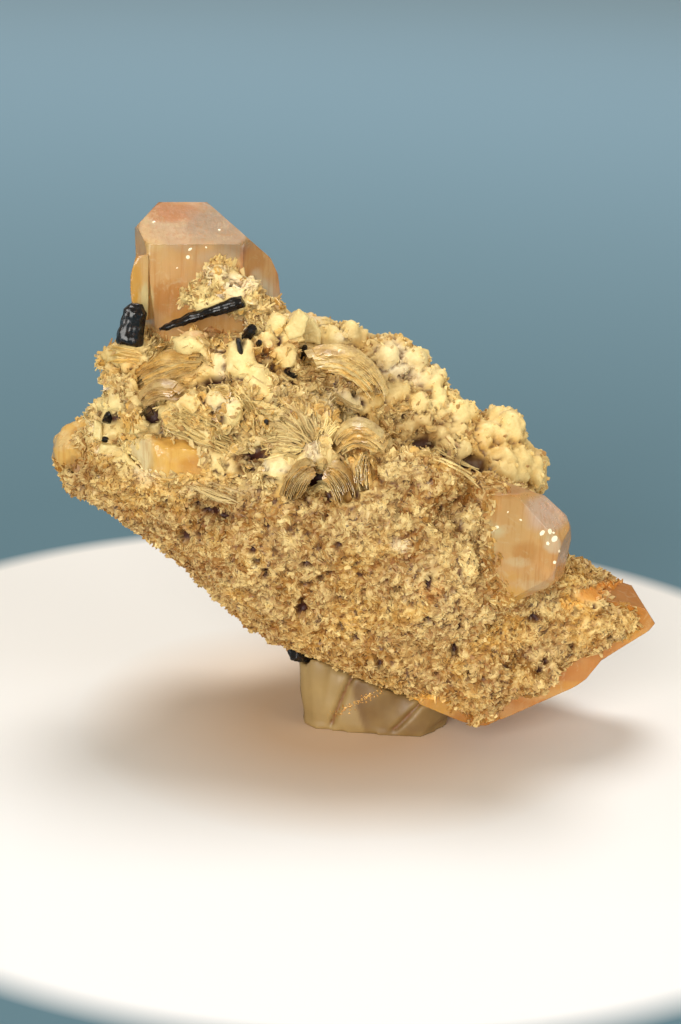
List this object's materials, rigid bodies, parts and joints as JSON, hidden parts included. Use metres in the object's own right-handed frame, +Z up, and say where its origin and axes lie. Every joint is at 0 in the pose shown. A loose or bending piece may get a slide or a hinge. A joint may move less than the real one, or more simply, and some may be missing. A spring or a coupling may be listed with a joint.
{
  "type": "topaz crystals on albite and mica matrix",
  "caption": "Peach topaz crystals grown on a leaning rock of fine albite with mica books and black tourmaline, held up by a lump of display putty.",
  "frame": {"origin": "middle of the flat underside of the putty, on the surface that it stands on", "axes": "+X to the right along the rock's longest side, +Y away from the viewer, +Z up"},
  "size_m": [0.0966, 0.0481, 0.0807],
  "materials": {
    "albite": "rough sugary cream to honey-tan crust with dark pits",
    "topaz": "clear peach to orange crystal, polished faces with fine growth lines",
    "honey_quartz": "cloudy honey crystal with a waxy surface",
    "tourmaline": "black, glassy, striated along its length",
    "mica": "silvery olive-gold sheets with a pearly sheen",
    "putty": "smooth satin olive-cream modelling putty with pressed creases"
  },
  "bodies": {
    "root": {"matrix": "albite", "topaz_tall": "topaz", "topaz_stub": "topaz", "topaz_toe": "topaz", "quartz_tip": "honey_quartz", "quartz_front": "honey_quartz", "tourmaline_side": "tourmaline", "tourmaline_needle": "tourmaline", "tourmaline_under": "tourmaline", "tourmaline_left": "tourmaline", "mica_book_crest": "mica", "mica_book_saddle": "mica", "mica_book_tent_left": "mica", "mica_book_tent_right": "mica", "mica_book_post": "mica", "mica_book_long": "mica", "mica_book_low": "mica", "display_putty": "putty"}
  },
  "joints": []
}
